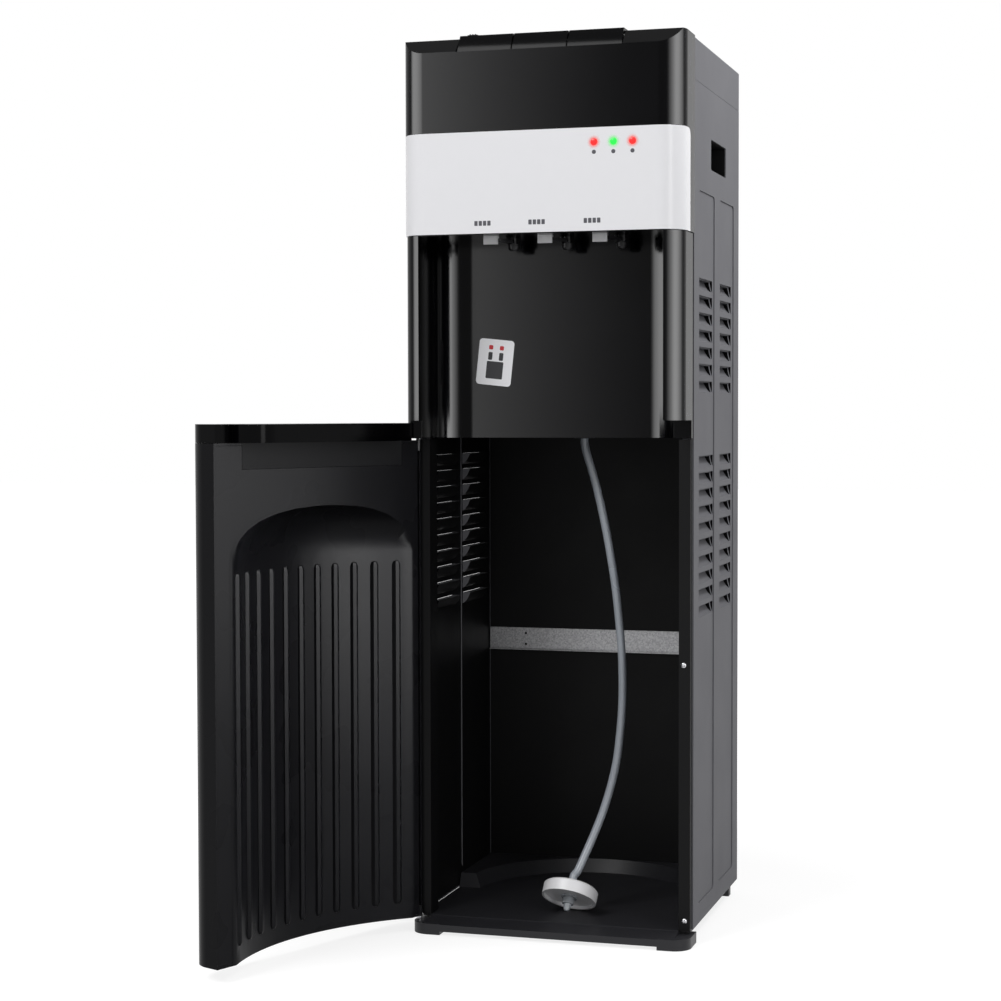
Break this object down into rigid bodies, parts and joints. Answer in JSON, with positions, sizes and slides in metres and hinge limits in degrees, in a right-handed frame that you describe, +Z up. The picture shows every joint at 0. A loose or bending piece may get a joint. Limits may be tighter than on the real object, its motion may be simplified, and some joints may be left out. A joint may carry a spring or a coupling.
{
  "type": "bottom load water cooler",
  "caption": "Upright bottom load water cooler with its bottle door open, three press keys over a dispensing niche, a bottle hose and cap, drip tray and louvred sides.",
  "frame": {"origin": "on the floor, at the middle of the side panels in X and Y, in the centre support foot of the base", "axes": "+Z up, +X to the right of someone facing the front, +Y from the front to the rear"},
  "size_m": [0.4781, 0.603, 1.0212],
  "materials": {
    "painted_side": "satin charcoal paint",
    "gloss_black": "glossy black",
    "satin_black": "satin black",
    "white_plastic": "white",
    "red_lamp": "red, lit",
    "green_lamp": "green, lit",
    "circuit_board": "green board",
    "galvanised_steel": "galvanised",
    "bright_steel": "bright steel",
    "copper_tube": "bare copper",
    "clear_tube": "clear, slightly blue",
    "black_rubber": "matt",
    "foam_jacket": "foam"
  },
  "bodies": {
    "cabinet": {"base": "satin_black", "side_panel_right": "painted_side", "side_panel_left": "painted_side", "handle_cup_right": "satin_black", "handle_cup_left": "satin_black", "top_cover": "painted_side", "front_cap": "gloss_black", "control_panel": "white_plastic", "led_heating": "red_lamp", "led_power": "green_lamp", "led_cooling": "red_lamp", "indicator_board": "circuit_board", "niche_cover": "gloss_black", "front_chassis": "satin_black", "tap_hot": "satin_black", "tap_warm": "satin_black", "tap_cold": "satin_black", "key_rod": "bright_steel", "frame_strip_right": "satin_black", "frame_strip_left": "satin_black", "mid_deck": "galvanised_steel", "hose_grommet": "black_rubber", "rear_panel_lower": "painted_side", "rear_panel_upper": "painted_side", "rear_cross_brace": "galvanised_steel", "compressor": "satin_black", "pump": "satin_black", "tank_shelf": "galvanised_steel", "cold_tank": "foam_jacket", "hot_tank": "bright_steel", "control_box": "satin_black", "condenser": "satin_black", "suction_tube": "clear_tube", "supply_tube": "clear_tube", "suction_line": "copper_tube", "hose": "clear_tube", "bottle_cap": "white_plastic", "cap_spike": "clear_tube", "hinge_pin_lower": "bright_steel", "hinge_pin_upper": "bright_steel", "drain_spout": "satin_black", "cord_gland": "black_rubber"},
    "door": {"door_shell": "satin_black", "door_liner": "satin_black", "door_shelf": "gloss_black"},
    "drip_tray_body": {"drip_tray": "satin_black"},
    "drip_grid_body": {"drip_grid": "bright_steel"},
    "key_hot_body": {"key_hot": "gloss_black"},
    "key_warm_body": {"key_warm": "gloss_black"},
    "key_cold_body": {"key_cold": "gloss_black"},
    "child_lock_body": {"child_lock_slider": "gloss_black"},
    "push_rod_hot_body": {"push_rod_hot": "white_plastic"},
    "push_rod_warm_body": {"push_rod_warm": "white_plastic"},
    "push_rod_cold_body": {"push_rod_cold": "white_plastic"},
    "tap_lever_hot_body": {"tap_lever_hot": "satin_black"},
    "tap_lever_warm_body": {"tap_lever_warm": "satin_black"},
    "tap_lever_cold_body": {"tap_lever_cold": "satin_black"},
    "rocker_hot_body": {"switch_rocker_hot": "red_lamp"},
    "rocker_cold_body": {"switch_rocker_cold": "green_lamp"},
    "drain_cap_body": {"drain_cap": "satin_black"}
  },
  "joints": [
    {"name": "door_hinge", "type": "hinge", "parent": "cabinet", "child": "door", "pos_m": [-0.1585, -0.1525, 0.29], "axis": [0, 0, 1], "range_deg": [-5, 113.3]},
    {"name": "drip_tray_lift", "type": "slide", "parent": "door", "child": "drip_tray_body", "axis": [0, 0, 1], "range_m": [0, 0.055]},
    {"name": "drip_grid_lift", "type": "slide", "parent": "drip_tray_body", "child": "drip_grid_body", "axis": [0, 0, 1], "range_m": [0, 0.03]},
    {"name": "key_hot_hinge", "type": "hinge", "parent": "cabinet", "child": "key_hot_body", "pos_m": [-0.063, -0.152, 1.006], "axis": [1, 0, 0], "range_deg": [0, 6], "stiffness_Nm_per_rad": 0.4, "springref_deg": -6.88},
    {"name": "push_rod_hot_slide", "type": "slide", "parent": "cabinet", "child": "push_rod_hot_body", "axis": [0, 0, -1], "range_m": [0, 0.003]},
    {"name": "tap_lever_hot_hinge", "type": "hinge", "parent": "cabinet", "child": "tap_lever_hot_body", "pos_m": [-0.046, -0.152, 0.7915], "axis": [1, 0, 0], "range_deg": [0, 8]},
    {"name": "key_warm_hinge", "type": "hinge", "parent": "cabinet", "child": "key_warm_body", "pos_m": [0, -0.152, 1.006], "axis": [1, 0, 0], "range_deg": [0, 6], "stiffness_Nm_per_rad": 0.4, "springref_deg": -6.88},
    {"name": "push_rod_warm_slide", "type": "slide", "parent": "cabinet", "child": "push_rod_warm_body", "axis": [0, 0, -1], "range_m": [0, 0.003]},
    {"name": "tap_lever_warm_hinge", "type": "hinge", "parent": "cabinet", "child": "tap_lever_warm_body", "pos_m": [0.017, -0.152, 0.7915], "axis": [1, 0, 0], "range_deg": [0, 8]},
    {"name": "key_cold_hinge", "type": "hinge", "parent": "cabinet", "child": "key_cold_body", "pos_m": [0.063, -0.152, 1.006], "axis": [1, 0, 0], "range_deg": [0, 6], "stiffness_Nm_per_rad": 0.4, "springref_deg": -6.88},
    {"name": "push_rod_cold_slide", "type": "slide", "parent": "cabinet", "child": "push_rod_cold_body", "axis": [0, 0, -1], "range_m": [0, 0.003]},
    {"name": "tap_lever_cold_hinge", "type": "hinge", "parent": "cabinet", "child": "tap_lever_cold_body", "pos_m": [0.08, -0.152, 0.7915], "axis": [1, 0, 0], "range_deg": [0, 8]},
    {"name": "child_lock_slide", "type": "slide", "parent": "key_hot_body", "child": "child_lock_body", "axis": [1, 0, 0], "range_m": [0, 0.007]},
    {"name": "rocker_hot_hinge", "type": "hinge", "parent": "cabinet", "child": "rocker_hot_body", "pos_m": [-0.07, 0.1365, 0.594], "axis": [1, 0, 0], "range_deg": [-7, 7]},
    {"name": "rocker_cold_hinge", "type": "hinge", "parent": "cabinet", "child": "rocker_cold_body", "pos_m": [-0.04, 0.1365, 0.594], "axis": [1, 0, 0], "range_deg": [-7, 7]},
    {"name": "drain_cap_pull", "type": "slide", "parent": "cabinet", "child": "drain_cap_body", "axis": [0, 1, 0], "range_m": [0, 0.02]}
  ],
  "couplings": [
    {"joint": "push_rod_hot_slide", "follows": "key_hot_hinge", "m_per_rad": 0.0265},
    {"joint": "tap_lever_hot_hinge", "follows": "key_hot_hinge", "ratio": 1.2},
    {"joint": "push_rod_warm_slide", "follows": "key_warm_hinge", "m_per_rad": 0.0265},
    {"joint": "tap_lever_warm_hinge", "follows": "key_warm_hinge", "ratio": 1.2},
    {"joint": "push_rod_cold_slide", "follows": "key_cold_hinge", "m_per_rad": 0.0265},
    {"joint": "tap_lever_cold_hinge", "follows": "key_cold_hinge", "ratio": 1.2}
  ]
}
